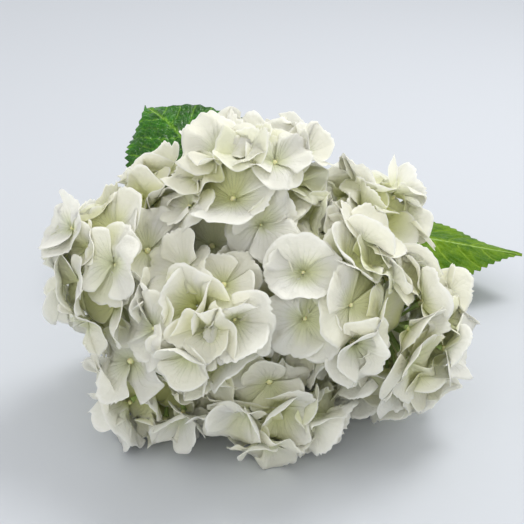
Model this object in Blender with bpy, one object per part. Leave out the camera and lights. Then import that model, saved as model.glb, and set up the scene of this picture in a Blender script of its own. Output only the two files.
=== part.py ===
"""Cut hydrangea (Hydrangea macrophylla), one mophead on a short cut stem, lying on its side.

Metres, +Z up.  The head faces -Y and the stem runs back along +Y and down to the surface.
"""
import math
import random

import bmesh
import bpy
from mathutils import Matrix, Vector

# ---- driving dimensions (metres) ----
HEAD_LIFT = 0.075            # height of the head's middle above the surface it lies on
FLORET_COUNT = 45            # florets of the outer layer that are solids here
FLORET_SMALL = 0.0165        # smallest and largest floret radius, centre to sepal tip
FLORET_LARGE = 0.0235
FLORET_SPACING = 0.0385      # distance the florets are settled to
SEPAL_THICKNESS = 0.0009
BEAD_RADIUS = 0.0016         # the unopened bud in the middle of each floret
PEDICEL_RADIUS = 0.0008
RAY_BASE_RADIUS = 0.0019
RAY_TIP_RADIUS = 0.0015
RAY_KNOB_RADIUS = 0.0032     # where a ray divides into pedicels
CROWN_RADIUS = 0.0075        # top of the stem, where the rays spring from
STEM_RADIUS = 0.0033
STEM_NODE_SWELL = 1.45       # a leaf joint, as a multiple of the stem's radius
LEAF_THICKNESS = 0.0010
LEAF_LEFT_WIDTH = 0.086
LEAF_RIGHT_WIDTH = 0.076
GAP = 0.0003                 # air left between neighbouring pieces

# Each cyme of the head: name, middle of its ball of florets, and the ball's radius.
CYMES = [
    ("crown", (-0.003, 0.012, 0.038), 0.036),
    ("left", (-0.063, 0.004, 0.006), 0.036),
    ("low_left", (-0.046, -0.010, -0.044), 0.029),
    ("low_front", (0.004, -0.026, -0.045), 0.029),
    ("right", (0.063, -0.002, -0.022), 0.036),
    ("mid_right", (0.034, -0.020, 0.004), 0.033),
    ("mid_left", (-0.022, -0.028, -0.002), 0.031),
    ("high_right", (0.054, 0.026, 0.022), 0.026),
    ("high_left", (-0.044, 0.026, 0.026), 0.028),
    ("back_left", (-0.048, 0.037, -0.040), 0.032),
    ("back_right", (0.044, 0.040, -0.042), 0.032),
    ("under", (-0.003, 0.010, -0.050), 0.026),
]
HEAD_MIDDLE = Vector((0.0, 0.006, -0.002))
STEM_AXIS = Vector((0.02, 0.97, -0.24)).normalized()
BACK_OPENING = math.radians(47)      # half angle kept clear of florets round the stem

STEM_PATH = [
    (0.000, 0.026, -0.006),
    (0.001, 0.060, -0.013),
    (0.002, 0.100, -0.024),
    (0.003, 0.120, -0.030),
    (0.004, 0.170, -0.043),
    (0.002, 0.225, -0.057),
    (-0.001, 0.262, -0.0668),
    (-0.003, 0.290, -0.0718),
]
LEAF_NODE = Vector((0.003, 0.120, -0.030))
SCAR_NODE = Vector((0.002, 0.225, -0.057))
LEAF_LEFT_PATH = [
    (-0.0018, 0.1196, -0.0270),
    (-0.008, 0.1180, -0.0150),
    (-0.015, 0.1185, -0.0050),
    (-0.028, 0.1300, 0.0060),
    (-0.045, 0.1520, 0.0160),
    (-0.060, 0.1750, 0.0225),
    (-0.073, 0.1960, 0.0244),
]
LEAF_RIGHT_PATH = [
    (0.0082, 0.1200, -0.0300),
    (0.020, 0.1215, -0.0290),
    (0.033, 0.1240, -0.0290),
    (0.068, 0.1290, -0.0320),
    (0.104, 0.1300, -0.0380),
    (0.137, 0.1275, -0.0430),
    (0.163, 0.1230, -0.0450),
]

random.seed(29)


def clear_file():
    for old in list(bpy.data.objects):
        bpy.data.objects.remove(old, do_unlink=True)


def material(name, colour, roughness):
    made = bpy.data.materials.new(name)
    made.use_nodes = True
    shader = made.node_tree.nodes["Principled BSDF"]
    shader.inputs["Base Color"].default_value = (*colour, 1.0)
    shader.inputs["Roughness"].default_value = roughness
    shader.inputs["Metallic"].default_value = 0.0
    return made


def node_from_bmesh(name, shape, surface):
    bmesh.ops.recalc_face_normals(shape, faces=shape.faces[:])
    bmesh.ops.triangulate(shape, faces=shape.faces[:])
    for face in shape.faces:
        face.smooth = True
    mesh = bpy.data.meshes.new(name)
    shape.to_mesh(mesh)
    shape.free()
    mesh.materials.append(surface)
    made = bpy.data.objects.new(name, mesh)
    bpy.context.collection.objects.link(made)
    return made


def across(direction):
    """Two unit vectors square to a direction and to each other."""
    helper = Vector((0, 0, 1)) if abs(direction.z) < 0.9 else Vector((1, 0, 0))
    side = direction.cross(helper).normalized()
    return side, side.cross(direction).normalized()


def smooth_path(points, steps):
    """A Catmull-Rom curve through the points, with the given steps in each span."""
    points = [Vector(p) for p in points]
    ends = [points[0] * 2 - points[1]] + points + [points[-1] * 2 - points[-2]]
    path = []
    for k in range(1, len(ends) - 2):
        before, start, stop, after = ends[k - 1:k + 3]
        for n in range(steps):
            t = n / steps
            value = 2 * start + (stop - before) * t
            value += (2 * before - 5 * start + 4 * stop - after) * t * t
            value += (3 * start - before - 3 * stop + after) * t ** 3
            path.append(value / 2)
    path.append(points[-1])
    return path


def tangents(path):
    found = []
    for k in range(len(path)):
        ahead = path[min(k + 1, len(path) - 1)]
        behind = path[max(k - 1, 0)]
        found.append((ahead - behind).normalized())
    return found


def bridge(shape, first, second):
    """Join two closed rings; the second may have half as many corners as the first."""
    count = len(first)
    if len(second) == count:
        for k in range(count):
            shape.faces.new((first[k], first[(k + 1) % count], second[(k + 1) % count], second[k]))
        return
    half = len(second)
    for k in range(half):
        a, b, c = first[2 * k], first[2 * k + 1], first[(2 * k + 2) % count]
        shape.faces.new((a, b, second[k]))
        shape.faces.new((b, second[(k + 1) % half], second[k]))
        shape.faces.new((b, c, second[(k + 1) % half]))


def sweep(shape, path, radii, sides):
    """A round tube of changing radius along a path, returned as its rings of corners."""
    rings = []
    side, up = across((path[1] - path[0]).normalized())
    for centre, direction, radius in zip(path, tangents(path), radii):
        side = (side - direction * side.dot(direction)).normalized()
        up = side.cross(direction).normalized()
        ring = []
        for k in range(sides):
            turn = 2 * math.pi * k / sides
            ring.append(shape.verts.new(centre + (side * math.cos(turn) + up * math.sin(turn)) * radius))
        rings.append(ring)
    for first, second in zip(rings, rings[1:]):
        bridge(shape, first, second)
    return rings


def closed_tube(path, radii, sides):
    shape = bmesh.new()
    rings = sweep(shape, path, radii, sides)
    shape.faces.new(list(reversed(rings[0])))
    shape.faces.new(rings[-1])
    return shape


# ---- the head's outline ----
def outline(direction):
    """Furthest point of the cymes' balls along a direction from the head's middle."""
    best = None
    for number, (_, middle, radius) in enumerate(CYMES):
        offset = Vector(middle) - HEAD_MIDDLE
        along = direction.dot(offset)
        inside = along * along - offset.length_squared + radius * radius
        if inside <= 0:
            continue
        reach = along + math.sqrt(inside)
        if best is None or reach > best[0]:
            best = (reach, number)
    if best is None:
        return HEAD_MIDDLE + direction * 0.055, 0
    return HEAD_MIDDLE + direction * best[0], best[1]


def floret_layout():
    """Points spread over the outline by the golden angle, then settled to an even spacing."""
    golden = math.pi * (3 - math.sqrt(5))
    side, up = across(STEM_AXIS)
    places = []
    for k in range(FLORET_COUNT):
        height = -1 + (math.cos(BACK_OPENING) + 1) * (k + 0.5) / FLORET_COUNT
        ring = math.sqrt(1 - height * height)
        turn = golden * k
        direction = STEM_AXIS * height + (side * math.cos(turn) + up * math.sin(turn)) * ring
        places.append(outline(direction)[0])
    for _ in range(80):
        moved = []
        for k, place in enumerate(places):
            push = Vector((0, 0, 0))
            for other_k, other in enumerate(places):
                apart = place - other
                if other_k != k and apart.length < FLORET_SPACING * 1.15:
                    push += apart.normalized() * (FLORET_SPACING * 1.15 - apart.length)
            direction = (place + push * 0.22 - HEAD_MIDDLE).normalized()
            behind = direction.angle(STEM_AXIS)
            if behind < BACK_OPENING:
                clear = (direction - STEM_AXIS * direction.dot(STEM_AXIS)).normalized()
                direction = STEM_AXIS * math.cos(BACK_OPENING) + clear * math.sin(BACK_OPENING)
            moved.append(outline(direction)[0])
        places = moved
    return places


def sepal_profile(turn):
    """Reach of the outline in a direction: four broad lobes with a notch between them."""
    lobe = abs(math.cos(2 * turn))
    return 0.60 + 0.40 * lobe ** 0.55


def floret(name, place, facing, radius, cup, spin, knob, surface):
    """Four joined sepals round a bead, on a pedicel that runs in to its ray."""
    side, up = across(facing)
    frame = Matrix((side, up, facing)).transposed()

    def at(reach, turn, height):
        local = Vector((math.cos(turn) * reach, math.sin(turn) * reach, height))
        return place + frame @ local

    def ring(share, sides, lift):
        found = []
        for k in range(sides):
            turn = 2 * math.pi * k / sides
            reach = radius * share * sepal_profile(turn)
            # one opposite pair of sepals lies over the other pair
            pair = 0.0007 * math.cos(2 * turn) * share
            bend = cup * radius * share * share
            found.append(at(reach, turn + spin, bend + pair + lift))
        return found

    top = at(0, 0, BEAD_RADIUS * 1.1 + 0.0002)
    bead = [at(BEAD_RADIUS, 2 * math.pi * k / 8 + spin, 0.0002) for k in range(8)]
    inner = ring(0.52, 16, 0.0)
    rim = ring(1.0, 16, -SEPAL_THICKNESS / 2)
    under = ring(0.55, 16, -SEPAL_THICKNESS)
    lowest = min(p.z for p in rim + inner + under + bead + [top])
    floor = -HEAD_LIFT
    drop = floor - lowest if lowest < floor + 0.007 else 0.0
    shift = Vector((0, 0, drop))

    shape = bmesh.new()
    rings = []
    for points in (rim, inner):
        rings.append([shape.verts.new(p + shift) for p in points])
    bead_ring = [shape.verts.new(p + shift) for p in bead]
    tip = shape.verts.new(top + shift)
    under_ring = [shape.verts.new(p + shift) for p in under]
    bridge(shape, rings[0], rings[1])
    bridge(shape, rings[1], bead_ring)
    for k in range(8):
        shape.faces.new((bead_ring[k], bead_ring[(k + 1) % 8], tip))
    bridge(shape, list(reversed(rings[0])), list(reversed(under_ring)))

    base = place + shift - facing * (SEPAL_THICKNESS + 0.0006)
    inward = (base - knob).normalized()
    end = knob + inward * (RAY_KNOB_RADIUS + GAP * 1.3)
    reach = (base - end).length
    path = []
    for t in (0.0, 0.12, 0.45, 1.0):
        straight = base.lerp(end, t)
        bow = -facing * reach * 0.30 * t * (1 - t)
        path.append(straight + bow)
    rings_down = []
    collar = 1.9
    for n, centre in enumerate(path):
        direction = (path[min(n + 1, 3)] - path[max(n - 1, 0)]).normalized()
        if n == 0:
            direction = -facing
        thick = PEDICEL_RADIUS * (collar if n == 0 else 1.0)
        lean = (side * math.cos(spin) + up * math.sin(spin))
        lean = (lean - direction * lean.dot(direction)).normalized()
        other = direction.cross(lean).normalized()
        ring_here = []
        for k in range(8):
            turn = 2 * math.pi * k / 8
            spot = centre + (lean * math.cos(turn) + other * math.sin(turn)) * thick
            ring_here.append(shape.verts.new(spot))
        rings_down.append(ring_here)
    bridge(shape, under_ring, rings_down[0])
    for first, second in zip(rings_down, rings_down[1:]):
        bridge(shape, first, second)
    shape.faces.new(rings_down[-1])
    return node_from_bmesh(name, shape, surface)


def ray(name, middle, surface):
    """A branch from the crown of the stem to the middle of a cyme, knobbed at its end."""
    start = Vector(STEM_PATH[0])
    towards = (middle - start).normalized()
    first = start + towards * (CROWN_RADIUS + GAP * 1.4)
    tip = middle
    length = (tip - first).length
    path = []
    radii = []
    for t in (0.0, 0.3, 0.6):
        path.append(first.lerp(tip, t))
        radii.append(RAY_BASE_RADIUS + (RAY_TIP_RADIUS - RAY_BASE_RADIUS) * t)
    for back, share in ((-0.98, 0.55), (-0.6, 0.82), (0.0, 1.0), (0.6, 0.8), (0.96, 0.28)):
        path.append(tip + towards * RAY_KNOB_RADIUS * back)
        radii.append(RAY_KNOB_RADIUS * share * 0.98)
    assert length > 0.02
    return node_from_bmesh(name, closed_tube(path, radii, 8), surface)


def stem(surface):
    """The cut stem, with a swollen joint at the leaves, an older joint, and the crown."""
    path = smooth_path(STEM_PATH, 4)
    radii = []
    for place in path:
        swell = 1.0
        for node in (LEAF_NODE, SCAR_NODE):
            swell += (STEM_NODE_SWELL - 1) * math.exp(-((place - node).length / 0.006) ** 2)
        radii.append(STEM_RADIUS * swell)
    start = path[0]
    back = (path[1] - path[0]).normalized()
    crown = []
    crown_radii = []
    for along, share in ((-0.96, 0.28), (-0.7, 0.71), (-0.25, 0.968), (0.25, 0.968), (0.7, 0.70)):
        crown.append(start + back * CROWN_RADIUS * along)
        crown_radii.append(CROWN_RADIUS * share)
    crown.append(start + back * CROWN_RADIUS * 1.15)
    crown_radii.append(STEM_RADIUS * 1.15)
    path = crown + path[2:]
    radii = crown_radii + radii[2:]
    return node_from_bmesh("stem", closed_tube(path, radii, 14), surface)


def leaf(name, points, width, facing, fold, surface):
    """Petiole and blade in one piece: rings that open from a round stalk to a thin blade."""
    path = smooth_path(points, 4)
    lengths = [0.0]
    for a, b in zip(path, path[1:]):
        lengths.append(lengths[-1] + (b - a).length)
    whole = lengths[-1]
    stalk = 0.020
    stations = (-1.0, -0.66, -0.33, 0.0, 0.33, 0.66, 1.0)
    shape = bmesh.new()
    rings = []
    for centre, direction, length in zip(path, tangents(path), lengths):
        side = direction.cross(facing).normalized()
        up = side.cross(direction).normalized()
        t = max(0.0, (length - stalk) / (whole - stalk))
        belly = math.sin(math.pi * min(1.0, t) ** 0.78) ** 0.80 if 0 < t < 1 else 0.0
        half = max(0.0018, width / 2 * belly)
        depth = 0.0016 if t == 0.0 else LEAF_THICKNESS / 2 + 0.0011 * math.exp(-t * 9)
        if t >= 1.0:
            half = 0.0007
            depth = 0.0004
        ring = []
        for face_sign, order in ((1, stations), (-1, tuple(reversed(stations))[1:-1])):
            for s in order:
                lift = abs(s) * half * fold
                round_off = math.sqrt(max(0.0, 1 - s * s)) if half < 0.003 else 1.0
                thick = 0.0 if abs(s) == 1.0 else depth * face_sign * round_off
                ring.append(shape.verts.new(centre + side * s * half + up * (lift + thick)))
        rings.append(ring)
    for first, second in zip(rings, rings[1:]):
        bridge(shape, first, second)
    shape.faces.new(list(reversed(rings[0])))
    shape.faces.new(rings[-1])
    return node_from_bmesh(name, shape, surface)


def main():
    clear_file()
    made = []
    stem_green = material("stem_green", (0.30, 0.38, 0.14), 0.55)
    made.append(stem(stem_green))

    ray_green = material("ray_green", (0.42, 0.55, 0.22), 0.55)
    for name, middle, _ in CYMES:
        made.append(ray("ray_" + name, Vector(middle), ray_green))

    leaf_green = material("leaf_green", (0.10, 0.28, 0.04), 0.35)
    left_face = Vector((0.18, -0.60, 0.78)).normalized()
    right_face = Vector((0.02, -0.12, 0.99)).normalized()
    made.append(leaf("leaf_left", LEAF_LEFT_PATH, LEAF_LEFT_WIDTH, left_face, -0.10, leaf_green))
    made.append(leaf("leaf_right", LEAF_RIGHT_PATH, LEAF_RIGHT_WIDTH, right_face, 0.10, leaf_green))

    sepal_white = material("sepal_white", (0.86, 0.87, 0.80), 0.60)
    places = floret_layout()
    for k, place in enumerate(places):
        radial = (place - HEAD_MIDDLE).normalized()
        number = outline(radial)[1]
        middle = Vector(CYMES[number][1])
        near = sorted((place - other).length for other in places)[1:4]
        radius = min(FLORET_LARGE, max(FLORET_SMALL, sum(near) / 3 * 0.52))
        facing = ((place - middle).normalized() * 0.6 + radial * 0.4).normalized()
        place = place + facing * 0.0012 * (k % 3 - 1)
        spin = random.uniform(0, math.pi / 2)
        cup = random.uniform(-0.34, -0.10)
        name = "floret_%02d" % (k + 1)
        made.append(floret(name, place, facing, radius, cup, spin, middle, sepal_white))

    low = Vector((1e9, 1e9, 1e9))
    high = Vector((-1e9, -1e9, -1e9))
    for one in made:
        for vertex in one.data.vertices:
            for axis in range(3):
                low[axis] = min(low[axis], vertex.co[axis])
                high[axis] = max(high[axis], vertex.co[axis])
    offset = Vector(((low.x + high.x) / 2, (low.y + high.y) / 2, low.z))
    for one in made:
        one.location = -offset


main()
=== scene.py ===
"""Cut hydrangea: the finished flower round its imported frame.

Sizes are in metres and the frame's own coordinates, with the surface it lies on at z = 0.
Sepals and leaves are worked out point by point, because their ruffles, teeth, veins and the way they lie
over each other follow rules that no chain of modelling tools gives.
"""
import math
import random

import bpy
import numpy as np
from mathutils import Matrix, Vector


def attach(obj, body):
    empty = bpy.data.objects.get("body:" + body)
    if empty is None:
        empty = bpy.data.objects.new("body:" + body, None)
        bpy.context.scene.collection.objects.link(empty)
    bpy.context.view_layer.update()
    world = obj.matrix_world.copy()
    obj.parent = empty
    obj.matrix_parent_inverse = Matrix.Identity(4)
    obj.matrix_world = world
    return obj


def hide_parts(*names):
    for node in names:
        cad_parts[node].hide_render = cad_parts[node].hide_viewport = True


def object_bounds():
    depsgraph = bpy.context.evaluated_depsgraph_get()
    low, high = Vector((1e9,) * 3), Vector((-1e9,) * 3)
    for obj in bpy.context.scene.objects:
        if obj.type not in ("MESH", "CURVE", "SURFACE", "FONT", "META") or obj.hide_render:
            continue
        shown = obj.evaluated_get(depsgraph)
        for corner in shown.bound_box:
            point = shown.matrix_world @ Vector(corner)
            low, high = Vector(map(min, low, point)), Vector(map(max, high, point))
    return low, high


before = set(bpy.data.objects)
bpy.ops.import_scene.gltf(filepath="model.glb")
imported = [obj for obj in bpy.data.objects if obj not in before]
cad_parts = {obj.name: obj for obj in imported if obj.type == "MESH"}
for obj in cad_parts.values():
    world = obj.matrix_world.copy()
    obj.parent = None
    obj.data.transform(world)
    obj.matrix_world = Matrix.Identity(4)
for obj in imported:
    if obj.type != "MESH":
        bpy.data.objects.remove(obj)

bl_info = {
    "name": "Cut hydrangea",
    "version": (1, 0, 0),
    "blender": (4, 5, 0),
    "location": "3D View > Sidebar > Hydrangea",
    "description": "Models a cut mophead hydrangea with its leaves and stem",
    "category": "Object",
}

MM = 0.001
CAD_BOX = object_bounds()

# ---- the flower's own plan, with the head's middle near zero ----
HEAD_LIFT = 0.075            # height of the plan's zero above the surface
LEAF_TIP_X = 0.163135        # the plan's x at the right leaf's tip
STEM_END_Y = 0.290583        # the plan's y at the stem's cut end
FLORET_COUNT = 45
FLORET_SMALL = 0.0165
FLORET_LARGE = 0.0235
FLORET_SPACING = 0.0385
KNOB_RADIUS = 0.0032
STEM_RADIUS = 0.0033
CYMES = [
    ("crown", (-0.003, 0.012, 0.038), 0.036),
    ("left", (-0.063, 0.004, 0.006), 0.036),
    ("low_left", (-0.046, -0.010, -0.044), 0.029),
    ("low_front", (0.004, -0.026, -0.045), 0.029),
    ("right", (0.063, -0.002, -0.022), 0.036),
    ("mid_right", (0.034, -0.020, 0.004), 0.033),
    ("mid_left", (-0.022, -0.028, -0.002), 0.031),
    ("high_right", (0.054, 0.026, 0.022), 0.026),
    ("high_left", (-0.044, 0.026, 0.026), 0.028),
    ("back_left", (-0.048, 0.037, -0.040), 0.032),
    ("back_right", (0.044, 0.040, -0.042), 0.032),
    ("under", (-0.003, 0.010, -0.050), 0.026),
]
SUNK = {"high_left": 0.010, "high_right": 0.006}    # cymes whose florets sit down among the others
HEAD_MIDDLE = Vector((0.0, 0.006, -0.002))
STEM_AXIS = Vector((0.02, 0.97, -0.24)).normalized()
BACK_OPENING = math.radians(47)
STEM_PATH = [
    (0.000, 0.026, -0.006),
    (0.001, 0.060, -0.013),
    (0.002, 0.100, -0.024),
    (0.003, 0.120, -0.030),
    (0.004, 0.170, -0.043),
    (0.002, 0.225, -0.057),
    (-0.001, 0.262, -0.0668),
    (-0.003, 0.290, -0.0718),
]
LEAF_JOINT = Vector((0.003, 0.120, -0.030))
SCARRED_JOINT = Vector((0.002, 0.225, -0.057))
LEAF_LEFT_PATH = [
    (-0.0018, 0.1196, -0.0270),
    (-0.008, 0.1180, -0.0150),
    (-0.015, 0.1185, -0.0050),
    (-0.028, 0.1300, 0.0060),
    (-0.045, 0.1520, 0.0160),
    (-0.060, 0.1750, 0.0225),
    (-0.073, 0.1960, 0.0244),
]
LEAF_RIGHT_PATH = [
    (0.0082, 0.1200, -0.0300),
    (0.020, 0.1215, -0.0290),
    (0.033, 0.1240, -0.0290),
    (0.068, 0.1290, -0.0325),
    (0.104, 0.1300, -0.0385),
    (0.137, 0.1275, -0.0436),
    (0.163, 0.1230, -0.0462),
]

# The plan is laid on the frame by the leaf's tip, the stem's end and the surface.
TO_FRAME = Vector((
    CAD_BOX[1][0] - LEAF_TIP_X,
    CAD_BOX[1][1] - STEM_END_Y,
    CAD_BOX[0][2] + HEAD_LIFT,
))


# ---- sizes and colours a user would change ----
class FlowerSettings(bpy.types.PropertyGroup):
    sepal_white: bpy.props.StringProperty(
        name="Sepal white", description="sRGB hex of the sepals", default="F5F4E8")
    sepal_green: bpy.props.StringProperty(
        name="Sepal base", description="sRGB hex of the green at the sepals' bases", default="D9E2AE")
    sepal_thickness: bpy.props.FloatProperty(
        name="Sepal thickness", description="Thickness of a sepal at its base",
        default=0.24 * MM, unit="LENGTH", precision=5)
    tooth_depth: bpy.props.FloatProperty(
        name="Tooth depth", description="Depth of the sepals' fine teeth, as a share of their length",
        default=0.075, subtype="FACTOR")
    fill_count: bpy.props.IntProperty(
        name="Fill florets", description="Florets between and under the outer ones", default=84)
    deep_count: bpy.props.IntProperty(
        name="Deep florets", description="Small greener florets down in the gaps", default=72)
    leaf_dark: bpy.props.StringProperty(
        name="Leaf", description="sRGB hex of the old leaf between its veins", default="174A02")
    leaf_light: bpy.props.StringProperty(
        name="Leaf veins", description="sRGB hex of the old leaf's veins", default="8CBF38")
    leaf_left_width: bpy.props.FloatProperty(
        name="Old leaf width", description="Width of the left leaf", default=0.084, unit="LENGTH")
    leaf_right_width: bpy.props.FloatProperty(
        name="Young leaf width", description="Width of the right leaf", default=0.078, unit="LENGTH")


def settings():
    return bpy.context.scene.hydrangea


# ---- small tools for materials ----
MIX_FACTOR, MIX_BELOW, MIX_OVER, MIX_RESULT = 0, 6, 7, 2    # a colour Mix node's sockets
VALUE, FROM_LOW, FROM_HIGH, TO_LOW, TO_HIGH = range(5)      # a Map Range node's sockets


def linear(code):
    """An sRGB hex colour as a linear RGBA value."""
    parts = [int(code[k:k + 2], 16) / 255 for k in (0, 2, 4)]
    values = [p / 12.92 if p <= 0.04045 else ((p + 0.055) / 1.055) ** 2.4 for p in parts]
    return (*values, 1.0)


def feed(tree, node, inputs):
    """Link or set a node's inputs, given by their names or numbers."""
    for key, value in inputs.items():
        if isinstance(value, bpy.types.NodeSocket):
            tree.links.new(value, node.inputs[key])
        else:
            node.inputs[key].default_value = value


def add(tree, kind, inputs, **choices):
    """Add a node with its settings and links, and give back its outputs."""
    node = tree.nodes.new(kind)
    for name, value in choices.items():
        setattr(node, name, value)
    feed(tree, node, inputs)
    return node.outputs


def new_material(name):
    """A material, its node tree and its shader."""
    made = bpy.data.materials.new(name)
    made.use_nodes = True
    return made, made.node_tree, made.node_tree.nodes["Principled BSDF"]


# ---- materials ----
CRINKLE = 2.381              # millimetres from crest to crest of a sepal's skin, coarse enough to show
FAN_TURN = 34.0              # radians of the fan veins' wave from a sepal's middle to its side: 11 veins


def sepal_material():
    """Sepal tissue, grown: light passes through it, so it glows softly, green towards its base, with faint
    fan veins, a paler rim and a finely crinkled skin; its yellow-green deeper inside the head is painted
    shade and glow."""
    made, tree, shader = new_material("sepal_tissue")
    along, across, tone, deep = (add(tree, "ShaderNodeAttribute", {}, attribute_name=name)["Fac"]
                                 for name in ("along", "across", "tone", "deep"))
    creamy = add(tree, "ShaderNodeMapRange", {VALUE: tone, FROM_LOW: 0.1, FROM_HIGH: 1.0},
                 interpolation_type="SMOOTHSTEP")[0]
    at_base = add(tree, "ShaderNodeMapRange",
                  {VALUE: along, FROM_LOW: 0.0, FROM_HIGH: 0.55, TO_LOW: 0.70, TO_HIGH: 0.0},
                  interpolation_type="SMOOTHSTEP")[0]
    young = add(tree, "ShaderNodeMapRange", {VALUE: tone, FROM_LOW: 1.0, FROM_HIGH: 2.0, TO_HIGH: 0.6},
                interpolation_type="SMOOTHSTEP")[0]
    # painted shade and glow: the deeper a sepal point lies inside the head, the more yellow-green it is
    # painted
    inside = add(tree, "ShaderNodeMath", {0: deep, 1: 0.90}, operation="MULTIPLY")[0]
    rim = add(tree, "ShaderNodeMapRange", {VALUE: along, FROM_LOW: 0.93, FROM_HIGH: 1.0, TO_HIGH: 0.7},
              interpolation_type="SMOOTHSTEP")[0]
    fan = add(tree, "ShaderNodeMath", {0: across, 1: FAN_TURN}, operation="MULTIPLY")[0]
    fan = add(tree, "ShaderNodeMath", {0: fan}, operation="SINE")[0]
    ridge = add(tree, "ShaderNodeMapRange", {VALUE: fan, FROM_LOW: 0.55, FROM_HIGH: 1.0},
                interpolation_type="SMOOTHSTEP")[0]
    fading = add(tree, "ShaderNodeMapRange", {VALUE: along, FROM_LOW: 0.95, FROM_HIGH: 0.2},
                 interpolation_type="SMOOTHSTEP")[0]
    vein = add(tree, "ShaderNodeMath", {0: ridge, 1: fading}, operation="MULTIPLY")[0]
    faint_vein = add(tree, "ShaderNodeMath", {0: vein, 1: 0.16}, operation="MULTIPLY")[0]
    green = linear(settings().sepal_green)
    colour = linear(settings().sepal_white)
    for factor, over in (
        (creamy, linear("F2F0DA")),
        (at_base, green),
        (young, green),
        (inside, linear("E2E694")),
        (faint_vein, linear("D9DFBC")),
        (rim, linear("FBFAEE")),
    ):
        colour = add(tree, "ShaderNodeMix", {MIX_FACTOR: factor, MIX_BELOW: colour, MIX_OVER: over},
                     data_type="RGBA")[MIX_RESULT]
    place = add(tree, "ShaderNodeTexCoord", {})["Object"]
    crinkle = add(tree, "ShaderNodeTexNoise",
                  {"Vector": place, "Scale": 1 / (CRINKLE * MM), "Detail": 3.0})[0]
    height = add(tree, "ShaderNodeMath", {0: vein, 1: -0.5, 2: crinkle}, operation="MULTIPLY_ADD")[0]
    bump = add(tree, "ShaderNodeBump", {"Strength": 0.80, "Distance": 0.6 * MM, "Height": height})[0]
    feed(tree, shader, {
        "Base Color": colour,
        "Normal": bump,
        "Roughness": 0.55,
        "Specular IOR Level": 0.35,
        "Subsurface Weight": 0.45,
        "Subsurface Radius": (1.0, 1.0, 0.9),
        "Subsurface Scale": 3 * MM,
    })
    return made


def bud_material():
    """Waxy cream bud, grown: a small soft gleam and a little green mottling."""
    made, tree, shader = new_material("bud_wax")
    place = add(tree, "ShaderNodeTexCoord", {})["Object"]
    mottle = add(tree, "ShaderNodeTexNoise", {"Vector": place, "Scale": 1 / (1.111 * MM), "Detail": 2.0})[0]
    colour = add(tree, "ShaderNodeMix",
                 {MIX_FACTOR: mottle, MIX_BELOW: linear("F0EBC0"), MIX_OVER: linear("DDE0A0")},
                 data_type="RGBA")[MIX_RESULT]
    feed(tree, shader, {
        "Base Color": colour,
        "Roughness": 0.45,
        "Subsurface Weight": 0.2,
        "Subsurface Scale": 1 * MM,
    })
    return made


def stalk_material(name, light, dark):
    """Stalk skin, grown: soft green with slight streaks that break its sheen."""
    made, tree, shader = new_material(name)
    place = add(tree, "ShaderNodeTexCoord", {})["Object"]
    streaks = add(tree, "ShaderNodeTexNoise", {"Vector": place, "Scale": 1 / (3.846 * MM), "Detail": 4.0})[0]
    bump = add(tree, "ShaderNodeBump", {"Strength": 0.2, "Distance": 0.2 * MM, "Height": streaks})[0]
    colour = add(tree, "ShaderNodeMix",
                 {MIX_FACTOR: streaks, MIX_BELOW: linear(light), MIX_OVER: linear(dark)},
                 data_type="RGBA")[MIX_RESULT]
    feed(tree, shader, {
        "Base Color": colour,
        "Normal": bump,
        "Roughness": 0.5,
    })
    return made


def stem_material():
    """Green bark, grown: mottled, woody towards the cut, with raised corky specks."""
    made, tree, shader = new_material("green_bark")
    place = add(tree, "ShaderNodeTexCoord", {})["Object"]
    along = add(tree, "ShaderNodeAttribute", {}, attribute_name="along")["Fac"]
    mottle = add(tree, "ShaderNodeTexNoise", {"Vector": place, "Scale": 1 / (7.143 * MM), "Detail": 5.0})[0]
    woody = add(tree, "ShaderNodeMapRange", {VALUE: along, FROM_LOW: 0.35, FROM_HIGH: 1.0, TO_HIGH: 0.65},
                interpolation_type="SMOOTHSTEP")[0]
    lengthwise = add(tree, "ShaderNodeMapping", {"Vector": place, "Scale": (1.0, 0.38, 1.0)})[0]
    cork = add(tree, "ShaderNodeTexVoronoi", {"Vector": lengthwise, "Scale": 1 / (3.0303 * MM)})["Distance"]
    speck = add(tree, "ShaderNodeMapRange", {VALUE: cork, FROM_LOW: 0.26, FROM_HIGH: 0.14},
                interpolation_type="SMOOTHSTEP")[0]
    tinted = add(tree, "ShaderNodeMath", {0: speck, 1: 0.7}, operation="MULTIPLY")[0]
    height = add(tree, "ShaderNodeMath", {0: mottle, 1: 0.4, 2: speck}, operation="MULTIPLY_ADD")[0]
    bump = add(tree, "ShaderNodeBump", {"Strength": 0.4, "Distance": 0.3 * MM, "Height": height})[0]
    colour = linear("7F9A48")
    for factor, over in ((mottle, linear("60803A")), (woody, linear("8A8052")), (tinted, linear("A58E66"))):
        colour = add(tree, "ShaderNodeMix", {MIX_FACTOR: factor, MIX_BELOW: colour, MIX_OVER: over},
                     data_type="RGBA")[MIX_RESULT]
    feed(tree, shader, {
        "Base Color": colour,
        "Normal": bump,
        "Roughness": 0.55,
    })
    return made


def pith_material():
    """Cut pith: a pale dry middle in a ring of wetter, greener wood."""
    made, tree, shader = new_material("cut_pith")
    outward = add(tree, "ShaderNodeAttribute", {}, attribute_name="across")["Fac"]
    place = add(tree, "ShaderNodeTexCoord", {})["Object"]
    fibres = add(tree, "ShaderNodeTexNoise", {"Vector": place, "Scale": 1 / (0.6667 * MM), "Detail": 3.0})[0]
    ring = add(tree, "ShaderNodeMapRange", {VALUE: outward, FROM_LOW: 0.45, FROM_HIGH: 0.62},
               interpolation_type="SMOOTHSTEP")[0]
    faint = add(tree, "ShaderNodeMath", {0: fibres, 1: 0.3}, operation="MULTIPLY")[0]
    colour = linear("EFEBD2")
    for factor, over in ((ring, linear("C3C98A")), (faint, linear("A9A86A"))):
        colour = add(tree, "ShaderNodeMix", {MIX_FACTOR: factor, MIX_BELOW: colour, MIX_OVER: over},
                     data_type="RGBA")[MIX_RESULT]
    feed(tree, shader, {
        "Base Color": colour,
        "Roughness": 0.6,
    })
    return made


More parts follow.
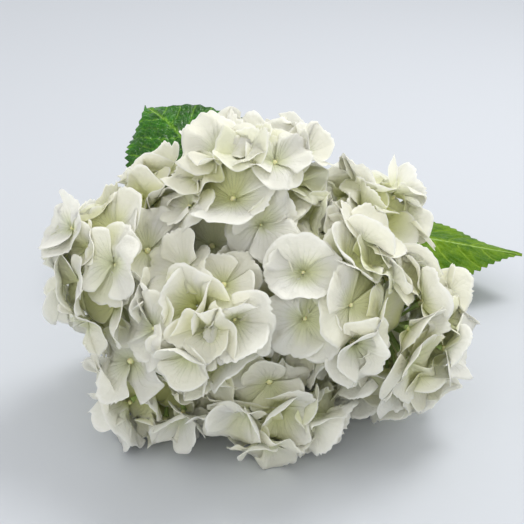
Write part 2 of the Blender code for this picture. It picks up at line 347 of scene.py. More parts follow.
def leaf_material(name, dark, light, veins, roughness, shine):
    """Leaf cuticle, grown: its wax gives glints on the quilting, over green tissue with paler veins; the
    quilting's hollows get painted shade.
    """
    made, tree, shader = new_material(name)
    vein, hollow = (add(tree, "ShaderNodeAttribute", {}, attribute_name=name)["Fac"]
                    for name in ("vein", "hollow"))
    place = add(tree, "ShaderNodeTexCoord", {})["Object"]
    patches = add(tree, "ShaderNodeTexNoise", {"Vector": place, "Scale": 1 / (16.667 * MM), "Detail": 4.0})[0]
    patchy = add(tree, "ShaderNodeMapRange", {VALUE: patches, FROM_LOW: 0.35, FROM_HIGH: 0.65},
                 interpolation_type="SMOOTHSTEP")[0]
    net = add(tree, "ShaderNodeTexVoronoi", {"Vector": place, "Scale": 1 / (1.9231 * MM)},
              feature="DISTANCE_TO_EDGE")["Distance"]
    fine = add(tree, "ShaderNodeMapRange", {VALUE: net, FROM_LOW: 0.10, FROM_HIGH: 0.0},
               interpolation_type="SMOOTHSTEP")[0]
    # painted shade: the quilting's hollows are mixed back towards the dark green
    painted_shade, netted, veined = (
        add(tree, "ShaderNodeMath", {0: value, 1: share}, operation="MULTIPLY")[0]
        for value, share in ((hollow, 0.45), (fine, 0.16), (vein, 0.70)))
    height = add(tree, "ShaderNodeMath", {0: patches, 1: fine}, operation="SUBTRACT")[0]
    bump = add(tree, "ShaderNodeBump", {"Strength": 0.35, "Distance": 0.4 * MM, "Height": height})[0]
    colour = linear(dark)
    for factor, over in (
        (patchy, linear(light)),
        (painted_shade, linear(dark)),
        (netted, linear(veins)),
        (veined, linear(veins)),
    ):
        colour = add(tree, "ShaderNodeMix", {MIX_FACTOR: factor, MIX_BELOW: colour, MIX_OVER: over},
                     data_type="RGBA")[MIX_RESULT]
    feed(tree, shader, {
        "Base Color": colour,
        "Normal": bump,
        "Roughness": roughness,
        "Specular IOR Level": shine,
    })
    return made


# ---- meshes ----
class Parts:
    """Points, faces and point values gathered from several shapes into one mesh."""

    def __init__(self, names):
        self.points = []
        self.faces = []
        self.kinds = []
        self.values = {name: [] for name in names}

    def put(self, points, faces, kind, **values):
        start = len(self.points)
        self.points.extend(points)
        self.faces.extend([tuple(start + k for k in face) for face in faces])
        self.kinds.extend([kind] * len(faces))
        for name, store in self.values.items():
            given = values.get(name, 0.0)
            if np.isscalar(given):
                given = [given] * len(points)
            store.extend(given)

    def piece(self, name, materials):
        """An object at the origin, with its place on the frame in its mesh."""
        mesh = bpy.data.meshes.new(name)
        mesh.from_pydata([tuple(Vector(p) + TO_FRAME) for p in self.points], [], self.faces)
        for one in materials:
            mesh.materials.append(one)
        mesh.polygons.foreach_set("material_index", self.kinds)
        mesh.polygons.foreach_set("use_smooth", [True] * len(self.faces))
        for key, numbers in self.values.items():
            layer = mesh.attributes.new(key, "FLOAT", "POINT")
            layer.data.foreach_set("value", [float(n) for n in numbers])
        mesh.update()
        made = bpy.data.objects.new(name, mesh)
        bpy.context.collection.objects.link(made)
        return made


def fix_normals(piece):
    """Turn every closed shell of a piece to face outwards."""
    bpy.ops.object.select_all(action="DESELECT")
    piece.select_set(True)
    bpy.context.view_layer.objects.active = piece
    bpy.ops.object.mode_set(mode="EDIT")
    bpy.ops.mesh.select_all(action="SELECT")
    bpy.ops.mesh.normals_make_consistent(inside=False)
    bpy.ops.object.mode_set(mode="OBJECT")
    bpy.ops.object.select_all(action="DESELECT")


def sheet_faces(rows, columns):
    """Faces of a closed sheet whose top grid is followed by its bottom grid."""
    faces = []
    under = rows * columns
    for i in range(rows - 1):
        for j in range(columns - 1):
            a, b = i * columns + j, i * columns + j + 1
            c, d = a + columns, b + columns
            faces.append((a, c, d, b))
            faces.append((under + a, under + b, under + d, under + c))
    rim = list(range(columns))
    rim += [i * columns + columns - 1 for i in range(1, rows)]
    rim += [(rows - 1) * columns + j for j in range(columns - 2, -1, -1)]
    rim += [i * columns for i in range(rows - 2, 0, -1)]
    for k, first in enumerate(rim):
        second = rim[(k + 1) % len(rim)]
        faces.append((first, second, under + second, under + first))
    return faces


def grid_normals(grid):
    """Unit normals at the points of a grid."""
    down = np.gradient(grid, axis=0)
    right = np.gradient(grid, axis=1)
    normal = np.cross(down, right)
    return normal / np.maximum(np.linalg.norm(normal, axis=2, keepdims=True), 1e-12)


def tube(path, radii, sides):
    """Points and faces of a closed round tube along a path; the last face is its far end."""
    path = [Vector(p) for p in path]
    start = path[1] - path[0]
    side = start.cross(helper_axis(start.normalized())).normalized()
    points = []
    for k, (centre, radius) in enumerate(zip(path, radii)):
        direction = (path[min(k + 1, len(path) - 1)] - path[max(k - 1, 0)]).normalized()
        side = (side - direction * side.dot(direction)).normalized()
        other = direction.cross(side)
        for n in range(sides):
            turn = 2 * math.pi * n / sides
            points.append(centre + (side * math.cos(turn) + other * math.sin(turn)) * radius)
    faces = []
    for k in range(len(path) - 1):
        for n in range(sides):
            a, b = k * sides + n, k * sides + (n + 1) % sides
            faces.append((a, b, b + sides, a + sides))
    faces.append(tuple(reversed(range(sides))))
    last = (len(path) - 1) * sides
    faces.append(tuple(range(last, last + sides)))
    return points, faces


def smooth_path(points, steps):
    """A Catmull-Rom curve through the points."""
    points = [Vector(p) for p in points]
    ends = [points[0] * 2 - points[1]] + points + [points[-1] * 2 - points[-2]]
    path = []
    for k in range(1, len(ends) - 2):
        before, start, stop, after = ends[k - 1:k + 3]
        for n in range(steps):
            t = n / steps
            value = 2 * start + (stop - before) * t
            value += (2 * before - 5 * start + 4 * stop - after) * t * t
            value += (3 * start - before - 3 * stop + after) * t ** 3
            path.append(value / 2)
    path.append(points[-1])
    return path


def helper_axis(direction):
    """An axis that is well away from a direction."""
    return Vector((0, 0, 1)) if abs(direction.z) < 0.9 else Vector((1, 0, 0))


def cross_axes(direction):
    """Two axes square to a direction and to each other."""
    side = direction.cross(helper_axis(direction)).normalized()
    return side, side.cross(direction).normalized()


# ---- the head's plan ----
BARE_REACH = 0.055           # the outline's distance where no cyme reaches


def outline(direction):
    """Furthest point of the cymes' balls along a direction from the head's middle, and whose it is."""
    best = None
    for number, (_, middle, radius) in enumerate(CYMES):
        offset = Vector(middle) - HEAD_MIDDLE
        along = direction.dot(offset)
        inside = along * along - offset.length_squared + radius * radius
        if inside <= 0:
            continue
        reach = along + math.sqrt(inside)
        if best is None or reach > best[0]:
            best = (reach, number)
    if best is None:
        return HEAD_MIDDLE + direction * BARE_REACH, 0
    return HEAD_MIDDLE + direction * best[0], best[1]


def spiral(count, opening):
    """Directions spread by the golden angle, clear of the stem's opening at the back."""
    golden = math.pi * (3 - math.sqrt(5))
    side, up = cross_axes(STEM_AXIS)
    for k in range(count):
        height = -1 + (math.cos(opening) + 1) * (k + 0.5) / count
        ring = math.sqrt(1 - height * height)
        turn = golden * k
        yield STEM_AXIS * height + (side * math.cos(turn) + up * math.sin(turn)) * ring


def outer_places():
    """The outer florets' places: a golden spiral settled to an even spacing, as the solids are."""
    places = [outline(direction)[0] for direction in spiral(FLORET_COUNT, BACK_OPENING)]
    for _ in range(80):
        moved = []
        for k, place in enumerate(places):
            push = Vector((0, 0, 0))
            for other_k, other in enumerate(places):
                apart = place - other
                if other_k != k and apart.length < FLORET_SPACING * 1.15:
                    push += apart.normalized() * (FLORET_SPACING * 1.15 - apart.length)
            direction = (place + push * 0.22 - HEAD_MIDDLE).normalized()
            if direction.angle(STEM_AXIS) < BACK_OPENING:
                clear = (direction - STEM_AXIS * direction.dot(STEM_AXIS)).normalized()
                direction = STEM_AXIS * math.cos(BACK_OPENING) + clear * math.sin(BACK_OPENING)
            moved.append(outline(direction)[0])
        places = moved
    return places


def gap_places(taken, count, opening):
    """Points of the outline that lie furthest from those taken, one after another."""
    options = [outline(direction)[0] for direction in spiral(900, opening)]
    spots = np.array([tuple(p) for p in options])
    near = np.full(len(spots), 1e9)
    for place in taken:
        near = np.minimum(near, np.linalg.norm(spots - np.array(place), axis=1))
    chosen = []
    for _ in range(count):
        pick = int(near.argmax())
        chosen.append(options[pick])
        near = np.minimum(near, np.linalg.norm(spots - spots[pick], axis=1))
    return chosen


def depth_inside(points):
    """How far points lie inside the cymes' balls, below zero outside them."""
    return np.max([radius - np.linalg.norm(points - np.array(middle), axis=1)
                   for _, middle, radius in CYMES], axis=0)


# ---- florets ----
SEPAL_ROWS = 9
SEPAL_COLUMNS = 47
SEPAL_FACES = sheet_faces(SEPAL_ROWS, SEPAL_COLUMNS)
TOUCH = 1.1 * MM             # least distance kept between the middles of two touching sepals
REACH = 9 * MM               # furthest that a sepal is moved by its neighbours at once
THINNING = 7 / 12            # share of its thickness that a sepal has lost at its rim
YIELD = 0.6                  # each of the two gives way by this much of what they need
TURN = 6.28                  # a full turn, for phases drawn at random


def sepal(length, half_angle, fullness, cup, wave, roll, rng):
    """One sepal's top grid in its own axes: x out from the middle, y across, z up.

    u runs from the base to the rim, v from side to side, and share is the distance out at each point.
    """
    u = np.linspace(0.025, 1.0, SEPAL_ROWS)[:, None] ** 0.85
    v = np.linspace(-1.0, 1.0, SEPAL_COLUMNS)[None, :]
    phi = v * half_angle

    # the rim: a round lobe with fine teeth in one stretch, a slow wave and a shallow notch
    reach = np.cos(phi * 0.97) ** fullness
    lobe = 1 - np.abs(v) ** 3
    teeth = rng.uniform(4.5, 8.0)
    saw = v * teeth + 0.35 * np.sin(v * 7 + rng.uniform(0, 6)) + rng.uniform(0, 1)
    saw = np.abs((saw % 1.0) - 0.5) * 2
    toothed = 0.25 + np.exp(-((v - rng.uniform(-0.4, 0.4)) / rng.uniform(0.2, 0.6)) ** 2)
    toothed = toothed * (0.6 + 0.4 * np.sin(v * rng.uniform(9, 16) + rng.uniform(0, 6)))
    depth = settings().tooth_depth * rng.uniform(0.4, 1.5)
    reach = reach * (1 - depth * saw * toothed * lobe)
    reach = reach * (1 + 0.045 * np.sin(phi * rng.uniform(2, 4) + rng.uniform(0, TURN)))
    reach = reach * (1 - rng.uniform(0.0, 0.08) * np.exp(-(v / 0.12) ** 2))

    radius = reach * u * length
    x = radius * np.cos(phi)
    y = radius * np.sin(phi)
    share = radius / length

    # the surface: cupped along and across, grooved at its midrib, ruffled towards the rim
    z = cup * length * share ** 2
    z = z + roll * length * (y / length) ** 2
    z = z - 0.030 * length * np.exp(-(y / (0.11 * length)) ** 2) * np.sin(np.pi * np.minimum(share, 1))
    ripple = np.sin(phi * rng.uniform(2.5, 4.5) + rng.uniform(0, TURN))
    ripple = ripple + 0.55 * np.sin(phi * rng.uniform(6.0, 10.0) + rng.uniform(0, TURN))
    z = z + wave * length * ripple * u ** 2.2
    z = z + 0.022 * length * np.sin(share * rng.uniform(4, 6) + rng.uniform(0, TURN)) * share
    crease = np.sin(y / length * rng.uniform(9, 14) + rng.uniform(0, TURN))
    z = z + 0.008 * length * crease * share
    return np.stack([x, y, z], axis=2), np.broadcast_to(u, x.shape), np.broadcast_to(v, x.shape)


def turned(grid, angle, first, second):
    """A grid turned from one of its axes towards another."""
    c, s = math.cos(angle), math.sin(angle)
    made = grid.copy()
    made[..., first] = grid[..., first] * c - grid[..., second] * s
    made[..., second] = grid[..., first] * s + grid[..., second] * c
    return made


class FloretPlan:
    """Where a floret sits, how it faces and opens, and what its four sepals look like."""

    def __init__(self, name, place, facing, radius, spin, opening, knob, tone, seed, node=None):
        self.name, self.node, self.knob, self.tone = name, node, knob, tone
        self.facing, self.radius, self.opening = facing, radius, opening
        rng = np.random.default_rng(seed)
        self.rng = rng
        side, up = cross_axes(facing)
        self.axes = np.array([tuple(side), tuple(-up), tuple(facing)])
        self.middle = np.array(tuple(place))
        self.sheets = []
        for k in (1, 3, 0, 2):
            inner = k % 2 == 0
            hinge = opening + (0.12 if inner else -0.03) + rng.uniform(-0.16, 0.16)
            cup = rng.uniform(0.00, 0.26) if inner else rng.uniform(-0.20, 0.10)
            grid, along, over = sepal(
                radius * rng.uniform(0.88, 1.12), rng.uniform(0.98, 1.26), rng.uniform(0.38, 0.62),
                cup, rng.uniform(0.025, 0.080), rng.uniform(-0.14, 0.34), rng)
            grid = turned(grid, hinge, 0, 2)
            grid = turned(grid, -spin + k * math.pi / 2 + rng.uniform(-0.14, 0.14), 0, 1)
            grid[..., 2] += 0.7 * MM if inner else 0.0
            self.sheets.append([grid @ self.axes + self.middle, along, over])
        self.rest_on_surface(place)

    def rest_on_surface(self, place):
        """Lift or lower a floret near the surface so that it touches it."""
        lowest = min(float(sheet[0][..., 2].min()) for sheet in self.sheets)
        shift = -HEAD_LIFT + 0.6 * MM - lowest if lowest < -HEAD_LIFT + 6 * MM else 0.0
        shift = np.array((0, 0, max(-6 * MM, min(9 * MM, shift))))
        self.middle = self.middle + shift
        self.place = place + Vector(shift)
        for sheet in self.sheets:
            sheet[0] = sheet[0] + shift

    def height(self, points):
        """Height of points over this floret's bowl, and how far out they are, from 0 to 1 at its rim."""
        local = (points - self.middle) @ self.axes.T
        out = np.hypot(local[..., 0], local[..., 1])
        bowl = out * math.tan(self.opening + 0.035) + 0.02 * out ** 2 / self.radius
        return local[..., 2] - bowl, out / self.radius


def smoothed(move):
    """A sheet's moves, each averaged with those of its neighbours."""
    for _ in range(4):
        padded = np.pad(move, ((1, 1), (2, 2), (0, 0)), mode="edge")
        move = (padded[1:-1, 2:-2] * 2 + padded[:-2, 2:-2] + padded[2:, 2:-2]
                + padded[1:-1, :-4] + padded[1:-1, 4:]) / 6
    return move


def make_room(plans):
    """Where florets crowd, lay one floret's sepals over the other's, as they grow."""
    middles = np.array([plan.middle for plan in plans])
    moves = []
    for i, plan in enumerate(plans):
        gaps = np.linalg.norm(middles - plan.middle, axis=1)
        near = [j for j in range(len(plans)) if j != i and gaps[j] < plan.radius + plans[j].radius]
        for sheet in plan.sheets:
            move = np.zeros_like(sheet[0])
            for j in near:
                other = plans[j]
                between = (plan.middle + other.middle) / 2
                on_top = plan.height(between)[0] < other.height(between)[0]
                over, out = other.height(sheet[0])
                clear = over if on_top else -over
                need = np.where(clear > -REACH, np.clip(TOUCH - clear, 0, REACH), 0)
                need = need * np.clip((1.08 - out) / 0.2, 0, 1)
                push = (need if on_top else -need)[..., None] * other.axes[2]
                bigger = (push ** 2).sum(axis=2) > (move ** 2).sum(axis=2)
                move = np.where(bigger[..., None], push, move)
            move = move * YIELD * np.clip(sheet[1] * 1.3, 0, 1)[..., None]
            moves.append((sheet, smoothed(move)))
    for sheet, move in moves:
        sheet[0] = sheet[0] + move


def floret_piece(plan, materials):
    """Four sepals in two crossing pairs round a bud, on a pedicel that runs in to its ray."""
    rng = plan.rng
    parts = Parts(("along", "across", "tone", "deep"))
    for grid, along, over in plan.sheets:
        thick = settings().sepal_thickness * (1 - THINNING * along)
        low = grid - grid_normals(grid) * thick[..., None]
        points = np.concatenate([grid.reshape(-1, 3), low.reshape(-1, 3)])
        floor = np.concatenate([np.full(along.size, 0.45 * MM), np.full(along.size, 0.15 * MM)])
        points[:, 2] = np.maximum(points[:, 2], floor - HEAD_LIFT)
        # deep: how far inside the head each point lies, which sets the sepals' painted shade and glow
        parts.put(points, SEPAL_FACES, 0,
                  along=np.concatenate([along.ravel()] * 2),
                  across=np.concatenate([over.ravel()] * 2),
                  deep=np.clip((depth_inside(points) + 1 * MM) / (11 * MM), 0, 1),
                  tone=plan.tone + rng.uniform(-0.12, 0.12))

    middle, facing = plan.place, plan.facing
    bud = rng.uniform(1.2 * MM, 1.7 * MM)
    bud_path = [middle + facing * bud * h for h in (-0.35, 0.1, 0.55, 1.0, 1.4, 1.62)]
    parts.put(*tube(bud_path, [bud * w for w in (0.6, 0.95, 1.0, 0.85, 0.5, 0.12)], 10), 1, tone=plan.tone)

    base = middle - facing * 0.7 * MM
    end = plan.knob + (base - plan.knob).normalized() * KNOB_RADIUS * 0.98
    sag = facing * (base - end).length * 0.30
    path = [base.lerp(end, t) - sag * t * (1 - t) for t in (0.0, 0.06, 0.2, 0.4, 0.6, 0.8, 1.0)]
    radii = [r * MM for r in (1.6, 1.1, 0.8, 0.75, 0.7, 0.7, 0.8)]
    parts.put(*tube(path, radii, 7), 2, tone=plan.tone)

    made = parts.piece(plan.name, materials)
    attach(made, "root")
    if plan.node:
        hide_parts(plan.node)


def lean(direction, amount, rng):
    """A direction turned a little, to a side drawn at random."""
    side, up = cross_axes(direction)
    turn = rng.uniform(0, 2 * math.pi)
    return (direction + (side * math.cos(turn) + up * math.sin(turn)) * amount).normalized()


def outer_plans(places, scatter):
    """The outer florets, each in the place of its solid."""
    rng = random.Random(29)
    for k, place in enumerate(places):
        radial = (place - HEAD_MIDDLE).normalized()
        cyme, middle, _ = CYMES[outline(radial)[1]]
        middle = Vector(middle)
        near = sorted((place - other).length for other in places)[1:4]
        radius = min(FLORET_LARGE, max(FLORET_SMALL, sum(near) / 3 * 0.52))
        facing = ((place - middle).normalized() * 0.6 + radial * 0.4).normalized()
        spin = rng.uniform(0, math.pi / 2)
        rng.random()         # the solid floret's cup, which the sepals don't share
        opening = scatter.choice((0.16, 0.32, 0.46, 0.60, 0.76)) + scatter.uniform(-0.06, 0.06)
        sunk = 4.5 * MM + SUNK.get(cyme, 0.0) + radius * math.sin(opening) * 0.85
        place = place + facing * (1.2 * MM * (k % 3 - 1) - sunk)
        facing = lean(facing, scatter.uniform(0, 0.45), scatter)
        yield FloretPlan("sepals_%02d" % (k + 1), place, facing, radius * 1.17, spin, opening, middle,
                         scatter.uniform(0.0, 0.6), 100 + k, "floret_%02d" % (k + 1))


def gap_plans(group, places, depth, sizes, tones, tilt, first_seed, scatter):
    """Florets down in the gaps between the others."""
    for k, place in enumerate(places):
        radial = (place - HEAD_MIDDLE).normalized()
        cyme, middle, _ = CYMES[outline(radial)[1]]
        middle = Vector(middle)
        facing = ((place - middle).normalized() * 0.5 + radial * 0.5).normalized()
        place = place + facing * (-depth - SUNK.get(cyme, 0.0) + scatter.uniform(-2 * MM, 2 * MM))
        facing = lean(facing, scatter.uniform(0.0, tilt), scatter)
        yield FloretPlan("%s_sepals_%02d" % (group, k + 1), place, facing, scatter.uniform(*sizes),
                         scatter.uniform(0, 1.57), scatter.uniform(0.15, 0.80), middle,
                         scatter.uniform(*tones), first_seed + k)


def floret_pieces():
    """Outer florets on their solids, fill florets in the gaps and small ones deeper down."""
    scatter = random.Random(7)
    outer = outer_places()
    fills = gap_places(outer, settings().fill_count, BACK_OPENING * 0.95)
    deeps = gap_places(outer + fills, settings().deep_count, BACK_OPENING * 0.85)
    plans = list(outer_plans(outer, scatter))
    plans += gap_plans("fill", fills, 5.5 * MM, (0.0175, 0.0230), (0.1, 0.8), 0.40, 500, scatter)
    plans += gap_plans("deep", deeps, 10 * MM, (0.0150, 0.0195), (0.6, 1.6), 0.50, 900, scatter)
    for _ in range(3):
        make_room(plans)
    materials = [sepal_material(), bud_material(), stalk_material("pedicel_skin", "B9CF86", "97B460")]
    for plan in plans:
        floret_piece(plan, materials)


# ---- leaves ----
LEAF_ROWS = 210
LEAF_HALF = 55               # columns on each side of the midrib
PETIOLE = 0.020
TOOTH = 2.6 * MM
MIDRIB = 1.0 * MM
SIDE_VEIN = 0.55 * MM
SIDE_VEINS = 8.5             # pairs of side veins along the blade
BLADE_THICKNESS = 0.8 * MM


def leaf_midline(points, facing):
    """The petiole's points, and the blade's midline with its axes at each row, from base to tip."""
    spots = np.array([tuple(p) for p in smooth_path(points, 40)])
    steps = np.linalg.norm(np.diff(spots, axis=0), axis=1)
    run = np.concatenate([[0], np.cumsum(steps)])
    lengths = np.linspace(PETIOLE * 0.9, run[-1] - 0.4 * MM, LEAF_ROWS)
    middle = np.stack([np.interp(lengths, run, spots[:, a]) for a in range(3)], axis=1)
    ahead = np.gradient(middle, axis=0)
    ahead /= np.linalg.norm(ahead, axis=1, keepdims=True)
    side = np.cross(ahead, np.array(tuple(facing)))
    side /= np.linalg.norm(side, axis=1, keepdims=True)
    up = np.cross(side, ahead)
    t = (lengths - lengths[0]) / (lengths[-1] - lengths[0])
    petiole = [Vector(p) for p in spots[run <= PETIOLE * 1.02]][::4]
    rib = [Vector(p) - Vector(facing) * 0.7 * MM for p in spots[run > PETIOLE * 0.9]][::10]
    return petiole, rib, middle, ahead, side, up, t, run[-1] - PETIOLE


def leaf(name, points, width, facing, folds, teeth, quilt, materials, seed, fuller=1.0):
    """A blade with a toothed margin, sunken veins and quilted tissue, on its petiole.

    folds holds the rise of each half away from the midrib, quilt is the height of the tissue between the
    veins, and fuller widens the half on the positive side.
    """
    rng = np.random.default_rng(seed)
    petiole, rib, middle, ahead, side, up, t, blade = leaf_midline(points, facing)

    # the outline: an oval with a drawn-out tip and saw teeth that lean forward
    belly = np.maximum(np.sin(np.pi * np.minimum(1.0, t) ** 0.78), 0.0) ** 0.80 * (1 - 0.45 * t ** 6)
    half = np.maximum(0.9 * MM, width / 2 * belly)
    saw = (t * teeth) % 1.0
    tooth = np.where(saw < 0.72, saw / 0.72, (1 - saw) / 0.28) - 0.5
    tooth = (tooth * TOOTH * np.minimum(1, belly * 2.5))[:, None]
    s = np.linspace(-1, 1, LEAF_HALF * 2 + 1)[None, :]
    outward = np.abs(s)
    offset = s * half[:, None] * np.where(s > 0, fuller, 1.0) + np.sign(s) * outward ** 6 * tooth
    distance = np.abs(offset)
    t, belly = t[:, None], belly[:, None]

    # the veins: side veins that curve forward, cross veins between them, and the quilting in the net
    spacing = blade / SIDE_VEINS
    phase = (t * blade - distance * 0.80 - distance ** 2 * 4.0) / spacing + np.where(s < 0, 0.35, 0.0)
    phase = phase + 0.10 * np.sin(distance * 190 + t * 9)
    cell = np.abs(np.sin(np.pi * phase))
    side_vein = np.exp(-(cell * spacing / np.pi / SIDE_VEIN) ** 2)
    midrib = np.exp(-(distance / MIDRIB) ** 2)
    cross_phase = distance / (spacing * 0.42) + 0.25 * np.sin(phase * 9)
    cross_cell = np.abs(np.sin(np.pi * cross_phase))
    pillow_rows = np.abs(np.sin(np.pi * (phase * 2.5 + 0.22 * np.sin(cross_phase * 5.1))))
    pillow_ranks = np.abs(np.sin(np.pi * (cross_phase * 1.4 + 0.24 * np.sin(phase * 11.0))))
    pillow = (pillow_rows * pillow_ranks) ** 0.6

    # the surface
    fade = np.clip((1 - outward) / 0.25, 0, 1) ** 0.6
    swell = (cell ** 0.7) * (0.50 + 0.30 * cross_cell ** 0.6) + 0.75 * pillow
    swell = quilt * swell * fade * np.minimum(1, belly * 1.5)
    swell = swell - 1.2 * MM * midrib - 0.4 * MM * side_vein
    curl = 2.2 * MM * np.sin(t * 15 + s * 1.5 + rng.uniform(0, 6)) * outward ** 2.5
    height = distance * np.where(s < 0, folds[0], folds[1]) + swell + curl
    forward = outward ** 6 * 1.0 * MM * tooth / TOOTH
    grid = middle[:, None, :] + ahead[:, None, :] * forward[..., None]
    grid = grid + side[:, None, :] * offset[..., None] + up[:, None, :] * height[..., None]
    normal = grid_normals(grid)
    if float((normal * up[:, None, :]).sum()) < 0:
        normal = -normal
    thick = BLADE_THICKNESS * (0.30 + 0.55 * midrib)
    low = grid - normal * thick[..., None]

    vein = np.clip(side_vein * 0.8 + midrib + 0.20 * np.exp(-(cross_cell / 0.12) ** 2), 0, 1)
    # the hollows between the pillows, where the leaf's colour gets painted shade
    hollow = np.clip(1 - pillow, 0, 1) * fade
    parts = Parts(("vein", "hollow"))
    parts.put(np.concatenate([grid.reshape(-1, 3), low.reshape(-1, 3)]), sheet_faces(*grid.shape[:2]), 0,
              vein=np.concatenate([vein.ravel()] * 2), hollow=np.concatenate([hollow.ravel()] * 2))
    radii = np.interp(np.linspace(0, 1, len(petiole)), [0, 0.15, 0.8, 1], [0.0026, 0.0018, 0.0016, 0.0012])
    parts.put(*tube(petiole, radii, 12), 1, vein=0.5)
    parts.put(*tube(rib, np.linspace(1.2 * MM, 0.3 * MM, len(rib)), 8), 1, vein=0.8)
    made = parts.piece(name, materials)
    fix_normals(made)
    return made


# ---- stem ----
STEM_SIDES = 24
CROWN_PROFILE = (            # distance along the stem and radius of its swollen top, in millimetres
    (-7.2, 2.1), (-5.2, 5.3), (-2.0, 7.2), (2.0, 7.2), (5.5, 5.2), (8.5, 3.9),
)
CROWN_END = 0.011
JOINT_SWELL = 0.42


def stem_outline():
    """The stem's path and radii, from its swollen top to the cut."""
    path = smooth_path(STEM_PATH, 14)
    start = path[0]
    back = (path[1] - start).normalized()
    crown = [start + back * along * MM for along, _ in CROWN_PROFILE]
    radii = [radius * MM for _, radius in CROWN_PROFILE]
    path = crown + [p for p in path if (p - start).length > CROWN_END]
    for k, place in list(enumerate(path))[len(crown):]:
        swell = 1.0 + 0.03 * math.sin(k * 0.9)
        swell += JOINT_SWELL * math.exp(-((place - LEAF_JOINT).length / (5.5 * MM)) ** 2)
        swell += JOINT_SWELL * math.exp(-((place - SCARRED_JOINT).length / (5.0 * MM)) ** 2)
        radii.append(STEM_RADIUS * swell)
    return path, radii


def stem_piece():
    """The stem's bark, with the pith set in a ring in its cut end."""
    path, radii = stem_outline()
    points, faces = tube(path, radii, STEM_SIDES)
    end = faces.pop()
    parts = Parts(("along", "across"))
    share = [k / (len(path) - 1) for k in range(len(path)) for _ in range(STEM_SIDES)]
    parts.put(points, faces, 0, along=share, across=1.0)

    rim = [points[k] for k in end]
    centre = sum(rim, Vector()) / STEM_SIDES
    inward = (path[-2] - path[-1]).normalized() * 0.2 * MM
    ring = [centre + (p - centre) * 0.55 + inward for p in rim]
    base = len(points)
    rim_faces = []
    pith_faces = []
    for n in range(STEM_SIDES):
        m = (n + 1) % STEM_SIDES
        rim_faces.append((end[n], end[m], base + m, base + n))
        pith_faces.append((n, m, STEM_SIDES))
    parts.faces += rim_faces
    parts.kinds += [1] * STEM_SIDES
    parts.put(ring + [centre + inward * 2], pith_faces, 1, along=1.0, across=[0.55] * STEM_SIDES + [0.0])
    floor = -HEAD_LIFT + 0.1 * MM
    parts.points = [Vector((p[0], p[1], max(p[2], floor))) for p in parts.points]
    made = parts.piece("stem_bark", [stem_material(), pith_material()])
    fix_normals(made)
    return made


# ---- operators ----
class HYDRANGEA_OT_florets(bpy.types.Operator):
    """Model the outer, fill and deep florets of the head"""
    bl_idname = "hydrangea.florets"
    bl_label = "Florets"

    def execute(self, context):
        floret_pieces()
        return {"FINISHED"}


class HYDRANGEA_OT_rays(bpy.types.Operator):
    """Give the rays inside the head their green skin"""
    bl_idname = "hydrangea.rays"
    bl_label = "Rays"

    def execute(self, context):
        skin = stalk_material("ray_skin", "A9C878", "86A955")
        for name, _, _ in CYMES:
            node = bpy.data.objects["ray_" + name]
            node.data.materials.clear()
            node.data.materials.append(skin)
        return {"FINISHED"}


class HYDRANGEA_OT_leaves(bpy.types.Operator):
    """Model the pair of leaves"""
    bl_idname = "hydrangea.leaves"
    bl_label = "Leaves"

    def execute(self, context):
        chosen = settings()
        stalk = stalk_material("petiole_skin", "A6C66A", "86AC4C")
        old = leaf_material("leaf_cuticle", chosen.leaf_dark, "2E7306", chosen.leaf_light, 0.18, 0.35)
        young = leaf_material("leaf_cuticle_young", "3A6600", "668A00", "9DBB44", 0.45, 0.15)
        left = leaf("leaf_blade_left", LEAF_LEFT_PATH, chosen.leaf_left_width,
                    facing=Vector((0.18, -0.60, 0.78)).normalized(), folds=(-0.10, -0.10),
                    teeth=21, quilt=2.2 * MM, materials=[old, stalk], seed=3, fuller=1.25)
        right = leaf("leaf_blade_right", LEAF_RIGHT_PATH, chosen.leaf_right_width,
                     facing=Vector((0.02, -0.33, 0.94)).normalized(), folds=(-0.55, -0.14),
                     teeth=34, quilt=0.9 * MM, materials=[young, stalk], seed=4)
        for made, node in ((left, "leaf_left"), (right, "leaf_right")):
            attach(made, "root")
            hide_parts(node)
        return {"FINISHED"}


class HYDRANGEA_OT_stem(bpy.types.Operator):
    """Model the cut stem with its leaf joint, scarred joint and pith"""
    bl_idname = "hydrangea.stem"
    bl_label = "Stem"

    def execute(self, context):
        made = stem_piece()
        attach(made, "root")
        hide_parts("stem")
        return {"FINISHED"}


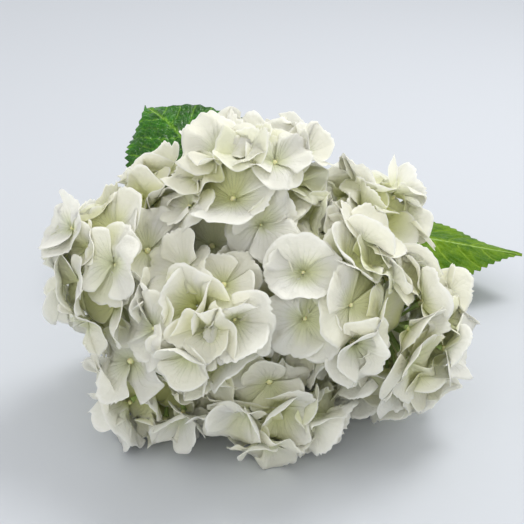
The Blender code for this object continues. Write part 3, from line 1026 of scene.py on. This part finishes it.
class HYDRANGEA_OT_stage(bpy.types.Operator):
    """Set the floor, the world, the lamps and the camera"""
    bl_idname = "hydrangea.stage"
    bl_label = "Stage"

    def execute(self, context):
        self.floor()
        self.world()
        middle = TO_FRAME
        self.lamp("key", middle + Vector((0.45, 0.35, 1.05)), middle, 0.5, 6.4)
        self.lamp("fill", middle + Vector((-0.9, -0.9, 0.8)), middle, 1.2, 2.2)
        self.camera(middle + Vector((0.002, -0.4047, 0.2230)))
        context.scene.view_settings.view_transform = "Standard"
        return {"FINISHED"}

    def floor(self):
        """Pale matt paint: plain, so that the flower's shadow shows."""
        bpy.ops.object.select_all(action="DESELECT")
        bpy.ops.mesh.primitive_plane_add(size=12.0, location=(0, 0, -0.2 * MM))
        floor = bpy.context.object
        floor.name = "floor"
        paint, tree, shader = new_material("floor_paint")
        feed(tree, shader, {"Base Color": linear("C8CCD2"), "Roughness": 0.7})
        floor.data.materials.append(paint)

    def world(self):
        """Even soft light, with a pale wall where it is seen or reflected."""
        world = bpy.data.worlds.new("studio")
        bpy.context.scene.world = world
        world.use_nodes = True
        tree = world.node_tree
        soft = tree.nodes["Background"]
        feed(tree, soft, {"Color": (1.0, 1.0, 1.0, 1.0), "Strength": 0.92})
        wall = add(tree, "ShaderNodeBackground", {"Color": linear("D5DADF"), "Strength": 1.0})[0]
        rays = add(tree, "ShaderNodeLightPath", {})
        seen = add(tree, "ShaderNodeMath", {0: rays["Is Camera Ray"], 1: rays["Is Glossy Ray"]},
                   operation="MAXIMUM")[0]
        shown = add(tree, "ShaderNodeMixShader", {0: seen, 1: soft.outputs[0], 2: wall})[0]
        feed(tree, tree.nodes["World Output"], {"Surface": shown})

    def lamp(self, name, place, target, size, power):
        light = bpy.data.lights.new(name, "AREA")
        light.shape = "DISK"
        light.size = size
        light.energy = power
        stand = bpy.data.objects.new(name, light)
        bpy.context.scene.collection.objects.link(stand)
        stand.location = place
        stand.rotation_euler = (target - place).to_track_quat("-Z", "Y").to_euler()

    def camera(self, place):
        camera = bpy.data.cameras.new("camera")
        camera.sensor_width = 36.0
        camera.lens = 66.0
        camera.clip_start = 0.01
        stand = bpy.data.objects.new("camera", camera)
        bpy.context.scene.collection.objects.link(stand)
        stand.location = place
        stand.rotation_euler = (math.radians(90 - 27.5), 0.0, 0.0)
        bpy.context.scene.camera = stand


class HYDRANGEA_PT_panel(bpy.types.Panel):
    bl_label = "Hydrangea"
    bl_idname = "HYDRANGEA_PT_panel"
    bl_space_type = "VIEW_3D"
    bl_region_type = "UI"
    bl_category = "Hydrangea"

    def draw(self, context):
        for name in FlowerSettings.__annotations__:
            self.layout.prop(context.scene.hydrangea, name)
        for one in OPERATORS:
            self.layout.operator(one.bl_idname)


OPERATORS = (
    HYDRANGEA_OT_stage,
    HYDRANGEA_OT_stem,
    HYDRANGEA_OT_rays,
    HYDRANGEA_OT_leaves,
    HYDRANGEA_OT_florets,
)


def register():
    for one in (FlowerSettings, *OPERATORS, HYDRANGEA_PT_panel):
        bpy.utils.register_class(one)
    bpy.types.Scene.hydrangea = bpy.props.PointerProperty(type=FlowerSettings)


def unregister():
    del bpy.types.Scene.hydrangea
    for one in (HYDRANGEA_PT_panel, *reversed(OPERATORS), FlowerSettings):
        bpy.utils.unregister_class(one)


def main():
    register()
    bpy.ops.hydrangea.stage()
    bpy.ops.hydrangea.stem()
    bpy.ops.hydrangea.rays()
    bpy.ops.hydrangea.leaves()
    bpy.ops.hydrangea.florets()


if __name__ == "__main__":
    main()
